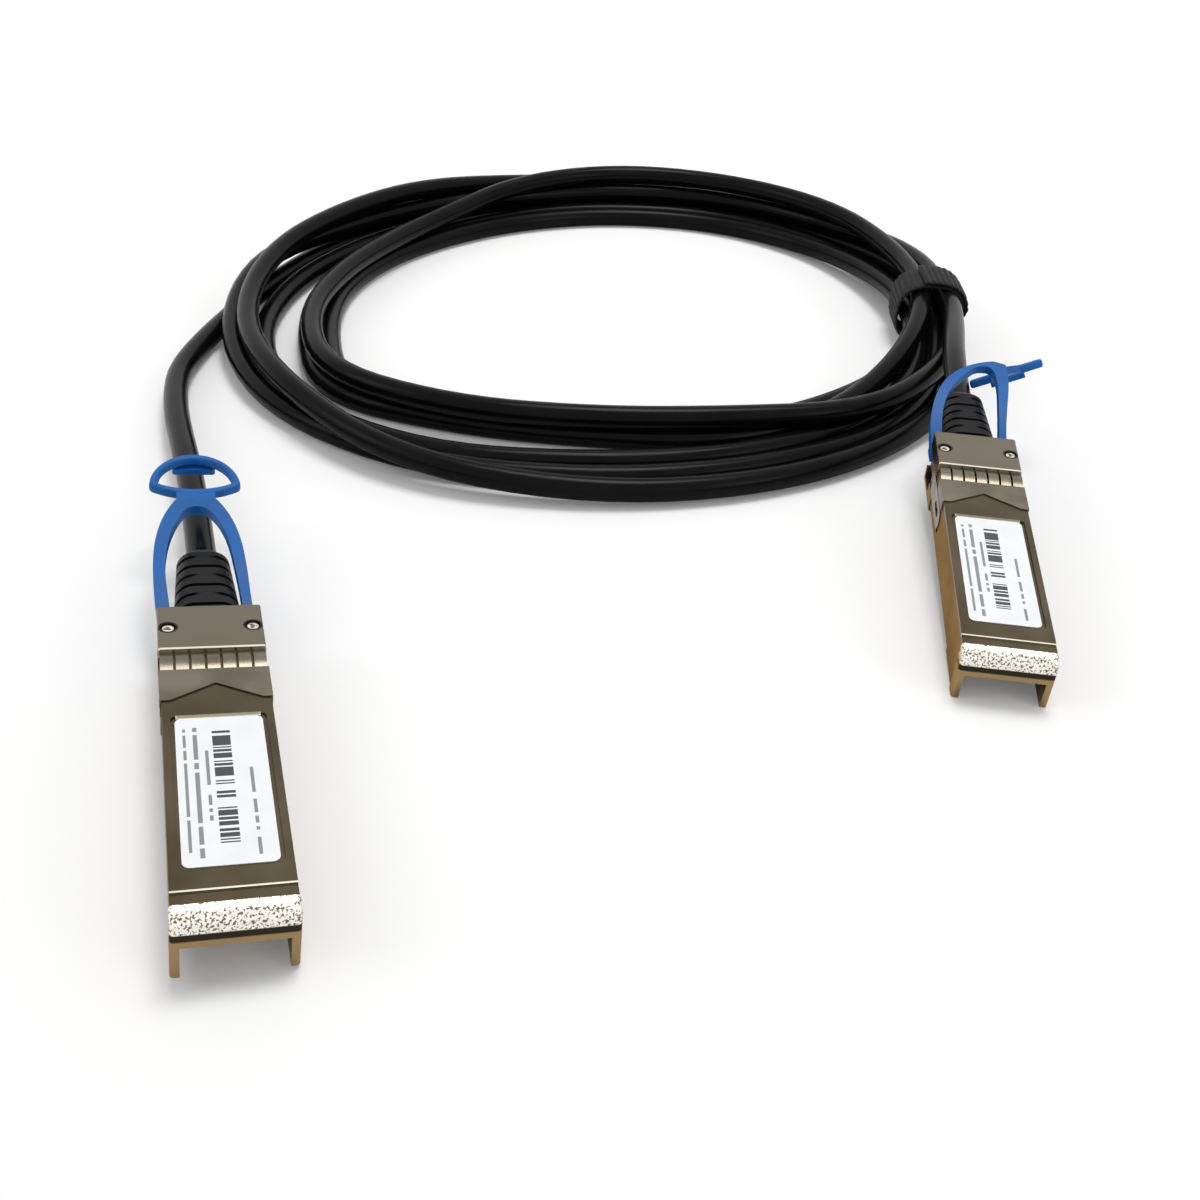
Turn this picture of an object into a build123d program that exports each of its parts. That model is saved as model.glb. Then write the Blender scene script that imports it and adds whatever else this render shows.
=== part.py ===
# Direct attach copper cable: two small form-factor plugs joined by a coiled twin-axial cable
import os
from math import atan, cos, degrees, radians, sin, tan
from build123d import *

os.makedirs("parts", exist_ok=True)

# Plug body, in the plug's own frame: nose at y = 0, cable end towards +y, underside at z = 0
BODY_W = 13.4
BODY_H = 8.5
BODY_Z = 0.5
PLUG_L = 57.5
REAR_L = 10.0
STOP_Y = PLUG_L - REAR_L
REAR_W = BODY_W + 0.3
REAR_TOP = 9.8
WALL = 0.9
ROOF = 0.8
SEAM_Z = 2.2
AXIS_Z = 4.9
CLEAR = 0.1
SLIDE_CLEAR = 0.05
PIN_CLEAR = 0.03

# Nose: bull-nosed front bar with a shallow groove behind it, mouth open below
NOSE_R = 2.2
NOSE_SIDE_R = 0.5
BAR_L = 2.2
BAR_Z = 4.8
LIP_FLARE = 0.15
STEP_Y = 4.0
STEP_DROP = 0.2
MOUTH_L = 10.4
FLOOR_T = 0.9
UNDER_CHAMFER = 0.7
REAR_CHAMFER = 0.4
REAR_ROUND = 0.35

# Label panel sunk in the roof
PANEL_W = BODY_W - 1.9
PANEL_Y = (7.2, STOP_Y - 13.1)
PANEL_DROP = 0.25
PANEL_R = 0.9
LABEL_EDGE = 0.5
LABEL_T = 0.12

# Spring collar wrapped over the roof just before the stop
COLLAR_T = 0.2
COLLAR_EDGE_Y = STOP_Y - 10.1
COLLAR_APEX_Y = STOP_Y - 6.8
COLLAR_FLAT = 1.0
COLLAR_WING_Z = 7.2
FINGER_Y = STOP_Y - 3.7
FINGER_COUNT = 7
FINGER_SLOT = 0.35
FINGER_RISE = 0.35

# Rivets that close the rear block
RIVET_X = REAR_W / 2 - 1.35
RIVET_Y = STOP_Y + 5.1
RIVET_D = 2.0
RIVET_L = 2.2
RIVET_SINK = 0.2
RIVET_EDGE = 0.25

# Latch slider: two side arms joined by a bridge under the cable
TRAVEL = 2.5
ARM_T = 0.5
ARM_OUT = REAR_W / 2
ARM_IN = ARM_OUT - 1.1
ARM_Z = (3.0, 6.8)
ARM_FRONT_Y = STOP_Y - 10.5
JOGGLE_Y = STOP_Y + 2.1
TONGUE_L = 3.0
TONGUE_Z = (4.0, 5.8)
STUD_Y = STOP_Y - 5.1
STUD_D = 1.2
BRIDGE_Y = (STOP_Y + 4.5, STOP_Y + 6.5)
BRIDGE_Z = (1.2, 1.7)

# Lock lever under the plug, rocked by the bridge
LEVER_W = 3.2
LEVER_Y = (STOP_Y - 5.5, STOP_Y + 9.1)
LEVER_Z = (0.5, 1.1)
LEVER_PIVOT = (STOP_Y + 2.0, 0.8)
LEVER_HUB_R = 0.75
LEVER_TAIL_Z = 0.75
LEVER_SLOPE = 0.16
PIN_D = 0.8
PIN_L = 5.2
BOSS_W = 2.6
BOSS_Y = (STOP_Y - 5.1, STOP_Y - 2.5)
BOSS_H = 0.45

# Circuit card and what it carries
CARD_W = BODY_W - 4.2
CARD_T = 1.0
CARD_Y = (3.2, STOP_Y - 3.5)
CARD_Z = 2.75
PAD_COUNT = 10
PAD_W = 0.5
PAD_L = 2.6
PAD_T = 0.05
PAD_SIDE = 1.0
PAD_PITCH = (CARD_W - 2 * PAD_SIDE) / (PAD_COUNT - 1)
PAD_BACK = 0.4
LEDGE_W = 0.8
CHIP_SIZE = (3.0, 3.0, 0.8)
CHIP_Y = CARD_Y[1] - 20.0
PAIR_X = 1.05
PAIR_D = 1.9
PAIR_LAP = 4.0
JOINT_L = 2.0

# Cable and its strain relief
CABLE_D = 4.4
JACKET_END_Y = STOP_Y + 1.5
FERRULE_Y = (JACKET_END_Y, JACKET_END_Y + 6.0)
FERRULE_D = 5.4
BOOT_L = 18.5
BOOT_BASE = (2 * ARM_IN - 2.0, 7.6)
BOOT_TIP = (0.8 * BOOT_BASE[0], 6.6)
BOOT_CORNER = 0.4
BOOT_NECK_L = 1.6
BOOT_NECK_D = 5.4
BOOT_GROOVES = 6
BOOT_FIRST = 2.4
BOOT_PITCH = 2.6
BOOT_GROOVE = 0.75
BOOT_GROOVE_DEEP = 0.8
BOOT_SLOT_DEEP = 1.2

# Pull tab: strap legs cut from one bent sheet, a neck, and a D-shaped grip with a flap under it
STRAP_T = 1.4
SLEEVE_X = ARM_IN
SLEEVE_W = 1.7
SLEEVE_H = 2.6
SLEEVE_END = 0.5
LEG_OUT = SLEEVE_X + SLEEVE_W / 2
LEG_IN = SLEEVE_X - SLEEVE_W / 2
SHEET_L = 30.0
NECK_W = 5.6
GRIP_W = 13.4
GRIP_H = 8.6
GRIP_T = 1.6
GRIP_BAR = 1.25
GRIP_SAG = 1.3
GRIP_CORNER = 0.9
GRIP_ROUND = 0.5
FLAP = (6.4, 1.6, 1.0)

BODY_TOP = BODY_Z + BODY_H
HALF = BODY_W / 2
INNER = HALF - WALL
ROOF_Z = BODY_TOP - ROOF
REAR_HALF = REAR_W / 2
FLOOR_Z = BODY_Z + FLOOR_T
CARD_TOP = CARD_Z + CARD_T
ARM_H = ARM_Z[1] - ARM_Z[0]
ARM_MID_Z = (ARM_Z[0] + ARM_Z[1]) / 2
ARM_DEEP = REAR_HALF - ARM_IN + CLEAR
ARM_DEEP_X = REAR_HALF - ARM_DEEP / 2

# Where the two plugs lie, from the middle of the rear face's lower edge: one rolled a little by its
# cable, one with its cable end raised
ROLL_LIFT = 0.61
REAR_LIFT = 5.11
PLUG_A = Pos(-58.51, -18.08, ROLL_LIFT) * Rot(0, 0, 18.2) * Rot(0, 5.1, 0) * Pos(0, -PLUG_L, 0)
PLUG_B = Pos(57.64, 44.9, REAR_LIFT) * Rot(0, 0, -3.85) * Rot(5.6, 0, 0) * Pos(0, -PLUG_L, 0)

# Coil of cable: outline, slope of its top, and the tie round its right side
COIL_OUTER = (78.0, 83.0)
COIL_OUTER_C = (-7.0, 118.3)
COIL_INNER = (61.0, 57.0)
COIL_INNER_C = (-6.0, 127.8)
COIL_NEAR_H = 7.0
COIL_FAR_H = 16.7
COIL_R = 2.0
TIE_C = (64.0, 122.8)
TIE_CUT = 40.0
TIE_L = 11.0
TIE_T = 1.3
TIE_R = 4.0
BUNDLE = (13.4, 12.2)

# Route of the two free ends, from inside each plug to the coil
LEAD_A_OUT = PLUG_L + 39.5
LEAD_A = [(-89.6, 65.8, 3.4), (-93.0, 91.8, 3.0), (-86.0, 113.8, 4.4)]
LEAD_B_OUT = PLUG_L + 34.0
LEAD_B = [(65.4, 120.3, 11.2)]
BEND_SHARE = 0.45

# How each tab lies: slope of its sheet at the plug and at its end, outlines of its legs and top of
# its loop in plan (share of the sleeve's x, y from the rear face), and the plane of its grip
TAB_A_SLOPE = (18.0, 12.0)
TAB_A_LEFT = [(-1.235, 12.0), (-0.991, 20.6), (-0.591, 25.2)]
TAB_A_LEFT_IN = [(-0.939, 12.4), (-0.748, 18.6), (-0.504, 21.9)]
TAB_A_RIGHT = [(1.009, 12.0), (0.765, 20.6), (0.383, 25.2)]
TAB_A_RIGHT_IN = [(0.713, 12.4), (0.539, 18.6), (0.296, 21.9)]
TAB_A_TOP = (-0.104, 23.5)
TAB_A_HEAD = (-0.6, PLUG_L + 24.8, 11.5)
TAB_A_HEAD_W = 5.6
GRIP_A = Plane(origin=(-0.6, PLUG_L + 27.4, 12.0), x_dir=(1, 0, 0), z_dir=(0, -0.22, 0.975))
TAB_B_SLOPE = (35.0, -7.0)
TAB_B_LEFT = [(-1.165, 8.0), (-0.730, 14.8), (0.209, 19.9), (0.800, 21.3)]
TAB_B_LEFT_IN = [(-0.852, 7.5), (-0.435, 14.2), (0.104, 18.2)]
TAB_B_RIGHT = [(1.148, 12.0), (1.200, 17.2), (1.165, 20.6)]
TAB_B_RIGHT_IN = [(0.852, 12.0), (0.817, 16.6)]
TAB_B_TOP = (0.539, 19.3)
TAB_B_HEAD = (5.5, PLUG_L + 20.1, 11.9)
TAB_B_HEAD_W = 2.8
GRIP_B = Plane(origin=(7.9, PLUG_L + 23.5, 9.5), x_dir=(0.895, 0.027, 0.445), z_dir=(-0.398, 0.498, 0.77))


def block(x, y, z, mode=Mode.ADD):
    """Box between two limits on each axis, worked into the open part."""
    with Locations(((x[0] + x[1]) / 2, (y[0] + y[1]) / 2, (z[0] + z[1]) / 2)):
        Box(x[1] - x[0], y[1] - y[0], z[1] - z[0], mode=mode)


def across(y):
    """Plane across the plug at y, looking towards the nose."""
    return Plane(origin=(0, y, 0), x_dir=(1, 0, 0), z_dir=(0, -1, 0))


def beside(x):
    """Plane along the plug at x, with y to the right and z up."""
    return Plane(origin=(x, 0, 0), x_dir=(0, 1, 0), z_dir=(1, 0, 0))


def write(solid, name):
    """Name one finished piece and write its file."""
    solid.label = name
    export_step(solid, f"parts/{name}.step")


def write_both(piece, name):
    """Write one plug piece for the two ends of the cable."""
    write(piece.part.moved(PLUG_A), f"{name}_a")
    write(piece.part.moved(PLUG_B), f"{name}_b")


# Top shell: channel with a bull-nosed front bar, and the upper half of the rear block
with BuildPart() as top_shell:
    with BuildSketch(beside(-HALF)) as roof_side:
        with BuildLine():
            Polyline(
                (0, BODY_TOP - NOSE_R),
                (0, BODY_Z),
                (MOUTH_L, BODY_Z),
                (MOUTH_L, SEAM_Z),
                (STOP_Y, SEAM_Z),
                (STOP_Y, BODY_TOP),
                (STEP_Y, BODY_TOP),
                (STEP_Y, BODY_TOP - STEP_DROP),
                (NOSE_R, BODY_TOP - STEP_DROP),
                (NOSE_R, BODY_TOP),
            )
            RadiusArc((NOSE_R, BODY_TOP), (0, BODY_TOP - NOSE_R), -NOSE_R)
        make_face()
    extrude(amount=BODY_W)
    with BuildSketch(beside(-HALF - LIP_FLARE)) as lip_side:
        with BuildLine():
            Polyline((0, BODY_TOP - NOSE_R), (0, BODY_Z), (NOSE_R, BODY_Z), (NOSE_R, BODY_TOP))
            RadiusArc((NOSE_R, BODY_TOP), (0, BODY_TOP - NOSE_R), -NOSE_R)
        make_face()
    extrude(amount=BODY_W + 2 * LIP_FLARE)
    fillet(top_shell.faces().sort_by(Axis.Y)[0].edges().filter_by(Axis.Z), NOSE_SIDE_R)
    with BuildSketch(beside(-INNER)) as channel_side:
        with BuildLine():
            Polyline(
                (0, BODY_Z),
                (STOP_Y, BODY_Z),
                (STOP_Y, ROOF_Z),
                (BAR_L, ROOF_Z),
                (BAR_L, BAR_Z),
                (0, BAR_Z),
                close=True,
            )
        make_face()
    extrude(amount=2 * INNER, mode=Mode.SUBTRACT)
    with BuildSketch(across(PLUG_L)) as rear_end:
        with Locations((0, (AXIS_Z + REAR_TOP) / 2)):
            Rectangle(REAR_W, REAR_TOP - AXIS_Z)
        fillet(rear_end.vertices().group_by(Axis.Z)[-1], REAR_ROUND)
        with Locations((0, AXIS_Z)):
            Circle(FERRULE_D / 2, mode=Mode.SUBTRACT)
        with Locations((-ARM_DEEP_X, ARM_MID_Z), (ARM_DEEP_X, ARM_MID_Z)):
            Rectangle(ARM_DEEP, ARM_H + 2 * CLEAR, mode=Mode.SUBTRACT)
    extrude(amount=PLUG_L - STOP_Y)
    with BuildSketch(Plane.XY.offset(BODY_TOP - PANEL_DROP)) as panel:
        with Locations((0, (PANEL_Y[0] + PANEL_Y[1]) / 2)):
            RectangleRounded(PANEL_W, PANEL_Y[1] - PANEL_Y[0], PANEL_R)
    extrude(amount=PANEL_DROP, mode=Mode.SUBTRACT)
    with BuildSketch(Plane.XY.offset(REAR_TOP - RIVET_SINK - RIVET_L)) as rivet_holes:
        with Locations((-RIVET_X, RIVET_Y), (RIVET_X, RIVET_Y)):
            Circle(RIVET_D / 2)
    extrude(amount=RIVET_SINK + RIVET_L, mode=Mode.SUBTRACT)
    for side in (-1, 1):
        outer = sorted((side * (ARM_OUT - ARM_T - SLIDE_CLEAR), side * REAR_HALF))
        arm_z = (ARM_Z[0] - CLEAR, ARM_Z[1] + CLEAR)
        block(outer, (ARM_FRONT_Y - CLEAR, STOP_Y), arm_z, Mode.SUBTRACT)
        with BuildSketch(beside(side * (ARM_OUT - ARM_T - SLIDE_CLEAR))) as stud:
            with Locations((STUD_Y, ARM_MID_Z)):
                Circle(STUD_D / 2)
        extrude(amount=side * (ARM_T - CLEAR))

# Bottom shell: floor of the body with its card ledges, and the lower half of the rear block
with BuildPart() as bottom_shell:
    with BuildSketch(across(STOP_Y)) as floor_end:
        ledge_x = CARD_W / 2 - LEDGE_W
        with BuildLine():
            Polyline(
                (0, BODY_Z),
                (HALF - UNDER_CHAMFER, BODY_Z),
                (HALF, BODY_Z + UNDER_CHAMFER),
                (HALF, SEAM_Z),
                (INNER, SEAM_Z),
                (INNER, CARD_Z),
                (ledge_x, CARD_Z),
                (ledge_x, FLOOR_Z),
                (0, FLOOR_Z),
                close=True,
            )
        make_face()
        mirror(about=Plane.YZ)
    extrude(amount=STOP_Y - MOUTH_L)
    with BuildSketch(across(PLUG_L)) as rear_low:
        with Locations((0, AXIS_Z / 2)):
            Rectangle(REAR_W, AXIS_Z)
        chamfer(rear_low.vertices().group_by(Axis.Z)[0], REAR_CHAMFER)
        with Locations((0, AXIS_Z)):
            Circle(FERRULE_D / 2, mode=Mode.SUBTRACT)
        with Locations((-ARM_DEEP_X, ARM_MID_Z), (ARM_DEEP_X, ARM_MID_Z)):
            Rectangle(ARM_DEEP, ARM_H + 2 * CLEAR, mode=Mode.SUBTRACT)
    extrude(amount=PLUG_L - STOP_Y)
    lever_room = LEVER_W / 2 + CLEAR
    slot_z = (BRIDGE_Z[0] - CLEAR, BRIDGE_Z[1] + CLEAR)
    slot_y = (BRIDGE_Y[0] - CLEAR, BRIDGE_Y[1] + TRAVEL + CLEAR)
    with BuildSketch(beside(-lever_room)) as lever_bay:
        with BuildLine():
            Polyline(
                (LEVER_Y[0] - CLEAR, 0),
                (LEVER_Y[1] + CLEAR, 0),
                (LEVER_Y[1] + CLEAR, slot_z[1]),
                (STOP_Y, slot_z[1]),
                (STOP_Y, FLOOR_Z),
                (LEVER_Y[0] - CLEAR, FLOOR_Z),
                close=True,
            )
        make_face()
    extrude(amount=2 * lever_room, mode=Mode.SUBTRACT)
    block((-REAR_HALF, REAR_HALF), slot_y, slot_z, Mode.SUBTRACT)
    for side in (-1, 1):
        deep = sorted((side * (ARM_IN - CLEAR), side * REAR_HALF))
        block(deep, slot_y, (slot_z[0], ARM_Z[0]), Mode.SUBTRACT)
    with BuildSketch(beside(-PIN_L / 2)) as pin_hole:
        with Locations(LEVER_PIVOT):
            Circle(PIN_D / 2)
    extrude(amount=PIN_L, mode=Mode.SUBTRACT)

# Spring collar: thin plate with a notched front edge, bowed fingers and side wings
with BuildPart() as emi_collar:
    with BuildSketch(Plane.XY.offset(BODY_TOP)) as plate:
        with BuildLine():
            Polyline(
                (-HALF, FINGER_Y),
                (-HALF, COLLAR_EDGE_Y),
                (-HALF + COLLAR_FLAT, COLLAR_EDGE_Y),
                (0, COLLAR_APEX_Y),
                (HALF - COLLAR_FLAT, COLLAR_EDGE_Y),
                (HALF, COLLAR_EDGE_Y),
                (HALF, FINGER_Y),
                close=True,
            )
        make_face()
    extrude(amount=COLLAR_T)
    finger_w = (BODY_W - (FINGER_COUNT - 1) * FINGER_SLOT) / FINGER_COUNT
    mid_y = (FINGER_Y + STOP_Y) / 2
    for index in range(FINGER_COUNT):
        left = -HALF + index * (finger_w + FINGER_SLOT)
        with BuildSketch(beside(left)) as bow:
            with BuildLine():
                Line((FINGER_Y, BODY_TOP), (FINGER_Y, BODY_TOP + COLLAR_T))
                ThreePointArc(
                    (FINGER_Y, BODY_TOP + COLLAR_T),
                    (mid_y, BODY_TOP + COLLAR_T + FINGER_RISE),
                    (STOP_Y, BODY_TOP + COLLAR_T),
                )
                Line((STOP_Y, BODY_TOP + COLLAR_T), (STOP_Y, BODY_TOP))
                ThreePointArc(
                    (STOP_Y, BODY_TOP),
                    (mid_y, BODY_TOP + FINGER_RISE),
                    (FINGER_Y, BODY_TOP),
                )
            make_face()
        extrude(amount=finger_w)
    for side in (-1, 1):
        wing = sorted((side * HALF, side * (HALF + COLLAR_T)))
        block(wing, (COLLAR_EDGE_Y, FINGER_Y), (COLLAR_WING_Z, BODY_TOP + COLLAR_T))

# Rivets sunk in the rear block
with BuildPart() as cover_rivets:
    with BuildSketch(Plane.XY.offset(REAR_TOP - RIVET_SINK - RIVET_L)) as shanks:
        with Locations((-RIVET_X, RIVET_Y), (RIVET_X, RIVET_Y)):
            Circle(RIVET_D / 2)
    extrude(amount=RIVET_L)
    chamfer(cover_rivets.faces().group_by(Axis.Z)[-1].edges(), RIVET_EDGE)

# Label, left plain
with BuildPart() as label:
    with BuildSketch(Plane.XY.offset(BODY_TOP - PANEL_DROP)) as label_face:
        with Locations((0, (PANEL_Y[0] + PANEL_Y[1]) / 2)):
            RectangleRounded(PANEL_W - 2 * LABEL_EDGE, PANEL_Y[1] - PANEL_Y[0] - 2 * LABEL_EDGE, PANEL_R)
    extrude(amount=LABEL_T)

# Latch slider: joggled arms with guide slots, joined by the bridge
with BuildPart() as latch_slider:
    for side in (-1, 1):
        with BuildPart() as arm:
            with BuildSketch(beside(0)) as arm_side:
                with Locations((ARM_FRONT_Y + ARM_H / 2, ARM_MID_Z)):
                    Circle(ARM_H / 2)
                with Locations(((ARM_FRONT_Y + ARM_H / 2 + PLUG_L) / 2, ARM_MID_Z)):
                    Rectangle(PLUG_L - ARM_FRONT_Y - ARM_H / 2, ARM_H)
                with Locations((PLUG_L + TONGUE_L / 2, (TONGUE_Z[0] + TONGUE_Z[1]) / 2)):
                    Rectangle(TONGUE_L, TONGUE_Z[1] - TONGUE_Z[0])
                with Locations(((BRIDGE_Y[0] + BRIDGE_Y[1]) / 2, (BRIDGE_Z[0] + ARM_Z[0]) / 2)):
                    Rectangle(BRIDGE_Y[1] - BRIDGE_Y[0], ARM_Z[0] - BRIDGE_Z[0])
                with Locations((STUD_Y - TRAVEL / 2, ARM_MID_Z)):
                    SlotCenterToCenter(TRAVEL + CLEAR, STUD_D + 2 * CLEAR, mode=Mode.SUBTRACT)
            extrude(amount=side * REAR_W)
            with BuildSketch() as arm_plan:
                with BuildLine():
                    Polyline(
                        (side * (ARM_OUT - ARM_T), ARM_FRONT_Y),
                        (side * ARM_OUT, ARM_FRONT_Y),
                        (side * ARM_OUT, JOGGLE_Y),
                        (side * (ARM_IN + ARM_T), JOGGLE_Y),
                        (side * (ARM_IN + ARM_T), PLUG_L + TONGUE_L),
                        (side * ARM_IN, PLUG_L + TONGUE_L),
                        (side * ARM_IN, JOGGLE_Y - ARM_T),
                        (side * (ARM_OUT - ARM_T), JOGGLE_Y - ARM_T),
                        close=True,
                    )
                make_face()
            extrude(amount=REAR_TOP, mode=Mode.INTERSECT)
        add(arm.part)
    block((-ARM_IN, ARM_IN), BRIDGE_Y, BRIDGE_Z)

# Lock lever: catch under the body, hub on the pin, tail rising under the bridge
with BuildPart() as lock_lever:
    with BuildSketch(beside(-LEVER_W / 2)) as lever_side:
        tail_rise = LEVER_SLOPE * (LEVER_Y[1] - BRIDGE_Y[1])
        with BuildLine():
            Polyline(
                (LEVER_Y[0], LEVER_Z[0]),
                (LEVER_PIVOT[0], LEVER_Z[0]),
                (LEVER_Y[1], LEVER_TAIL_Z),
                (LEVER_Y[1], LEVER_Z[1] + tail_rise),
                (BRIDGE_Y[1], LEVER_Z[1]),
                (LEVER_Y[0], LEVER_Z[1]),
                close=True,
            )
        make_face()
        with Locations(LEVER_PIVOT):
            Circle(LEVER_HUB_R)
    extrude(amount=LEVER_W)
    with BuildSketch(beside(-BOSS_W / 2)) as catch_side:
        with BuildLine():
            Polyline(
                (BOSS_Y[0], LEVER_Z[0]),
                (BOSS_Y[0] + BOSS_H, LEVER_Z[0] - BOSS_H),
                (BOSS_Y[1], LEVER_Z[0] - BOSS_H),
                (BOSS_Y[1], LEVER_Z[0]),
                close=True,
            )
        make_face()
    extrude(amount=BOSS_W)
    with BuildSketch(beside(-LEVER_W / 2)) as lever_eye:
        with Locations(LEVER_PIVOT):
            Circle(PIN_D / 2 + PIN_CLEAR)
    extrude(amount=LEVER_W, mode=Mode.SUBTRACT)

# Pin that the lever turns on
with BuildPart() as lever_pin:
    with BuildSketch(beside(-PIN_L / 2)) as pin_face:
        with Locations(LEVER_PIVOT):
            Circle(PIN_D / 2)
    extrude(amount=PIN_L)

# Circuit card with its edge contacts and memory chip
with BuildPart() as paddle_card:
    block((-CARD_W / 2, CARD_W / 2), CARD_Y, (CARD_Z, CARD_TOP))

with BuildPart() as contact_pads:
    first = -(PAD_COUNT - 1) * PAD_PITCH / 2
    for index in range(PAD_COUNT):
        centre = first + index * PAD_PITCH
        pad_x = (centre - PAD_W / 2, centre + PAD_W / 2)
        pad_y = (CARD_Y[0] + PAD_BACK, CARD_Y[0] + PAD_BACK + PAD_L)
        block(pad_x, pad_y, (CARD_TOP, CARD_TOP + PAD_T))
        block(pad_x, pad_y, (CARD_Z - PAD_T, CARD_Z))

with BuildPart() as memory_chip:
    chip_y = (CHIP_Y - CHIP_SIZE[1] / 2, CHIP_Y + CHIP_SIZE[1] / 2)
    block((-CHIP_SIZE[0] / 2, CHIP_SIZE[0] / 2), chip_y, (CARD_TOP, CARD_TOP + CHIP_SIZE[2]))

# Two shielded pairs from the end of the jacket down onto the card
with BuildPart() as twinax_pairs:
    for side in (-1, 1):
        with BuildSketch(across(JACKET_END_Y)) as pair_end:
            with Locations((side * PAIR_X, AXIS_Z)):
                Circle(PAIR_D / 2)
        extrude(amount=JACKET_END_Y - CARD_Y[1] + PAIR_LAP)
    lap_y = CARD_Y[1] - PAIR_LAP
    block((-CARD_W / 2, CARD_W / 2), (lap_y, CARD_Y[1]), (CARD_Z, CARD_TOP), Mode.SUBTRACT)
    pair_x = PAIR_X + PAIR_D / 2
    block((-pair_x, pair_x), (lap_y, lap_y + JOINT_L), (CARD_TOP, AXIS_Z))

# Crimp ferrule round the jacket in the rear block
with BuildPart() as crimp_ferrule:
    with BuildSketch(across(FERRULE_Y[1])) as ferrule_end:
        with Locations((0, AXIS_Z)):
            Circle(FERRULE_D / 2)
            Circle(CABLE_D / 2, mode=Mode.SUBTRACT)
    extrude(amount=FERRULE_Y[1] - FERRULE_Y[0])

# Strain relief: tapered boot with cross grooves and side slots in turn
with BuildPart() as strain_relief_boot:
    taper_l = BOOT_L - BOOT_NECK_L
    with BuildSketch(across(PLUG_L)) as boot_base:
        with Locations((0, AXIS_Z)):
            RectangleRounded(BOOT_BASE[0], BOOT_BASE[1], BOOT_BASE[1] * BOOT_CORNER)
    with BuildSketch(across(PLUG_L + taper_l)) as boot_tip:
        with Locations((0, AXIS_Z)):
            RectangleRounded(BOOT_TIP[0], BOOT_TIP[1], BOOT_TIP[1] * BOOT_CORNER)
    with BuildSketch(across(PLUG_L + BOOT_L)) as neck_tip:
        with Locations((0, AXIS_Z)):
            RectangleRounded(BOOT_NECK_D, BOOT_NECK_D, BOOT_NECK_D * BOOT_CORNER)
    loft(ruled=True)
    for index in range(BOOT_GROOVES):
        groove_y = BOOT_FIRST + BOOT_PITCH * index
        wide = BOOT_BASE[0] + (BOOT_TIP[0] - BOOT_BASE[0]) * groove_y / taper_l
        tall = BOOT_BASE[1] + (BOOT_TIP[1] - BOOT_BASE[1]) * groove_y / taper_l
        core = (wide, tall - 2 * BOOT_GROOVE_DEEP) if index % 2 == 0 else (wide - 2 * BOOT_SLOT_DEEP, tall)
        with BuildSketch(across(PLUG_L + groove_y + BOOT_GROOVE / 2)) as groove_ring:
            with Locations((0, AXIS_Z)):
                Rectangle(2 * BOOT_BASE[0], 2 * BOOT_BASE[1])
                RectangleRounded(*core, min(core) * BOOT_CORNER, mode=Mode.SUBTRACT)
        extrude(amount=BOOT_GROOVE, mode=Mode.SUBTRACT)
    with BuildSketch(across(PLUG_L)) as spigot:
        with Locations((0, AXIS_Z)):
            Circle(FERRULE_D / 2)
    extrude(amount=PLUG_L - FERRULE_Y[1])
    with BuildSketch(across(PLUG_L + BOOT_L)) as cable_hole:
        with Locations((0, AXIS_Z)):
            Circle(CABLE_D / 2)
    extrude(amount=PLUG_L + BOOT_L - FERRULE_Y[1], mode=Mode.SUBTRACT)

# Pull tab: strap legs on the slider tongues, a neck and the grip
with BuildPart() as grip:
    with BuildSketch(Plane.XY.offset(-GRIP_T / 2)) as grip_face:
        half = GRIP_W / 2
        with BuildLine():
            ThreePointArc((-half, GRIP_SAG), (0, -GRIP_BAR / 2), (half, GRIP_SAG))
            EllipticalCenterArc((0, GRIP_SAG), half, GRIP_H - GRIP_SAG, start_angle=0, arc_size=180)
        make_face()
        hole = half - GRIP_BAR
        hole_y = GRIP_SAG + GRIP_BAR / 2
        with BuildLine():
            ThreePointArc((-hole, hole_y), (0, GRIP_BAR / 2), (hole, hole_y))
            EllipticalCenterArc((0, hole_y), hole, GRIP_H - GRIP_BAR - hole_y, start_angle=0, arc_size=180)
        make_face(mode=Mode.SUBTRACT)
        fillet(grip_face.vertices(), GRIP_CORNER)
    extrude(amount=GRIP_T)
    fillet(grip.faces().filter_by(Axis.Z).edges(), GRIP_ROUND)
    with BuildSketch(Plane.XY.offset(-GRIP_T / 2)) as flap_face:
        with Locations((0, GRIP_H - GRIP_BAR)):
            RectangleRounded(FLAP[0], FLAP[1], GRIP_ROUND)
    extrude(amount=-FLAP[2])


def spread(points):
    """Plan points of a tab, from shares of the sleeve's distance from the middle."""
    return [(share * SLEEVE_X, y) for share, y in points]


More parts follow.
